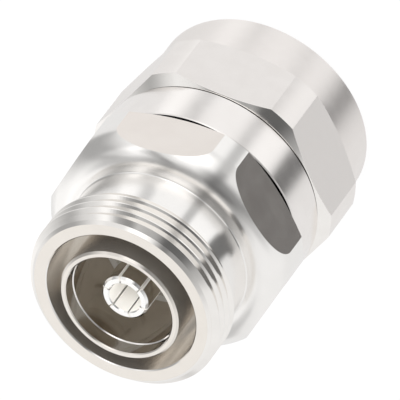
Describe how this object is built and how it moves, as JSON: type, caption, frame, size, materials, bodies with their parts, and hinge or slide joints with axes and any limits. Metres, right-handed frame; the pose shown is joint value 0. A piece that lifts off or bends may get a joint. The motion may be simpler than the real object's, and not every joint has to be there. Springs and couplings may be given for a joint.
{
  "type": "large din coaxial connector",
  "caption": "Plated coaxial cable jack: threaded front collar, inner sleeve, recessed slotted contact, hexagonal body and a hexagonal clamping nut that unscrews at the cable end.",
  "frame": {"origin": "centre of the nut's rear face, where the cable goes in", "axes": "+Z along the connector's axis, from the cable entry to the mating face; -Y is the outward normal of one flat of the body"},
  "size_m": [0.0364, 0.0352, 0.0465],
  "materials": {
    "plated_body": "turned and polished brass with a bright white bronze plating",
    "plated_nut": "turned and polished brass with a bright white bronze plating",
    "silver_contact": "silver plated spring contact",
    "bare_brass": "bare turned brass",
    "washer_steel": "plain steel washer",
    "white_insulator": "white turned insulator, waxy and matte",
    "black_rubber": "black moulded rubber seal"
  },
  "bodies": {
    "cable_side": {"back_nut": "plated_nut", "cable_gasket": "black_rubber"},
    "clamp": {"clamp_collet": "bare_brass", "thrust_washer": "washer_steel"},
    "connector": {"interface_body": "plated_body", "body_o_ring": "black_rubber", "front_bead": "white_insulator", "bead_retainer": "plated_body", "center_socket": "silver_contact", "inner_connector": "silver_contact"}
  },
  "joints": [
    {"name": "nut_turn", "type": "hinge", "parent": "cable_side", "child": "clamp", "pos_m": [0, 0, 0.008], "axis": [0, 0, 1], "range_deg": [0, 1800]},
    {"name": "nut_travel", "type": "slide", "parent": "clamp", "child": "connector", "axis": [0, 0, 1], "range_m": [0, 0.0075]}
  ],
  "couplings": [
    {"joint": "nut_travel", "follows": "nut_turn", "m_per_rad": 0.00023873}
  ]
}
